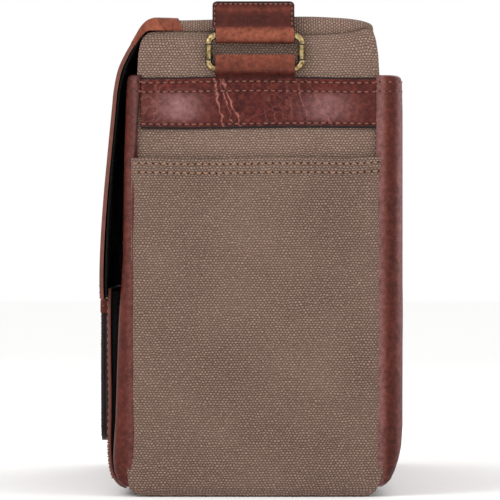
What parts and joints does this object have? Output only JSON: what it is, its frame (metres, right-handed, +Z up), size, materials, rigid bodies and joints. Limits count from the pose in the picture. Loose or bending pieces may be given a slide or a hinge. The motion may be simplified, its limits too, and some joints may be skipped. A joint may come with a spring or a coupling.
{
  "type": "camera bag",
  "caption": "Messenger-style camera bag with a canvas body, leather shells and flap, strap rings, closure straps and a padded insert.",
  "frame": {"origin": "middle of the base, on the surface that the bag stands on", "axes": "+X along the bag, -Y towards the flap side, +Z up"},
  "size_m": [0.3944, 0.1844, 0.2969],
  "materials": {
    "canvas": "waxed canvas, plain weave, taupe",
    "leather": "oiled pull-up leather, red-brown, light at bends and edges",
    "strap_leather": "leather strap with dark painted edges",
    "lining": "black woven lining",
    "foam": "grey sheet foam",
    "insert_cloth": "brushed dark loop cloth over foam",
    "board": "black stiff plastic board",
    "antique_brass": "antique brass, satin, dark in the recesses",
    "webbing": "dark brown cotton webbing"
  },
  "bodies": {
    "bag": {"base_canvas": "canvas", "base_board": "board", "end_panel_left": "canvas", "end_panel_right": "canvas", "front_canvas": "canvas", "back_canvas": "canvas", "front_padding": "foam", "back_padding": "foam", "front_leather": "leather", "back_leather": "leather", "end_band_left": "leather", "end_band_right": "leather", "end_pocket_left": "canvas", "end_pocket_right": "canvas", "front_pocket": "leather", "pocket_gusset_left": "lining", "pocket_gusset_right": "lining", "snap_bases": "antique_brass", "pocket_rivets": "antique_brass", "anchor_tab_left": "leather", "anchor_tab_right": "leather", "insert_base": "insert_cloth", "insert_front": "insert_cloth", "insert_back": "insert_cloth", "insert_left": "insert_cloth", "insert_right": "insert_cloth"},
    "divider_left": {"divider_left": "insert_cloth"},
    "divider_right": {"divider_right": "insert_cloth"},
    "flap": {"flap_top": "canvas", "flap_leather": "leather", "flap_lining": "lining", "shoulder_strap": "webbing", "strap_slider": "antique_brass"},
    "closure_left": {"closure_strap_left": "strap_leather", "closure_keeper_left": "leather", "snap_cap_left": "antique_brass"},
    "closure_right": {"closure_strap_right": "strap_leather", "closure_keeper_right": "leather", "snap_cap_right": "antique_brass"},
    "ring_left": {"strap_ring_left": "antique_brass", "strap_tab_left": "leather", "strap_end_left": "webbing"},
    "ring_right": {"strap_ring_right": "antique_brass", "strap_tab_right": "leather", "strap_end_right": "webbing"}
  },
  "joints": [
    {"name": "flap_hinge", "type": "hinge", "parent": "bag", "child": "flap", "pos_m": [0, 0.0745, 0.2796], "axis": [-1, 0, 0], "range_deg": [0, 110]},
    {"name": "closure_swing_left", "type": "hinge", "parent": "flap", "child": "closure_left", "pos_m": [-0.105, -0.08915, 0.11495], "axis": [-1, 0, 0], "range_deg": [0, 90]},
    {"name": "closure_swing_right", "type": "hinge", "parent": "flap", "child": "closure_right", "pos_m": [0.105, -0.08915, 0.11495], "axis": [-1, 0, 0], "range_deg": [0, 90]},
    {"name": "ring_swing_left", "type": "hinge", "parent": "bag", "child": "ring_left", "pos_m": [-0.19245, 0.0033, 0.2568], "axis": [0, -1, 0], "range_deg": [0, 100]},
    {"name": "ring_swing_right", "type": "hinge", "parent": "bag", "child": "ring_right", "pos_m": [0.19245, 0.0033, 0.2568], "axis": [0, 1, 0], "range_deg": [0, 100]},
    {"name": "divider_slide_left", "type": "slide", "parent": "bag", "child": "divider_left", "axis": [1, 0, 0], "range_m": [-0.03, 0.03]},
    {"name": "divider_slide_right", "type": "slide", "parent": "bag", "child": "divider_right", "axis": [1, 0, 0], "range_m": [-0.03, 0.03]}
  ]
}
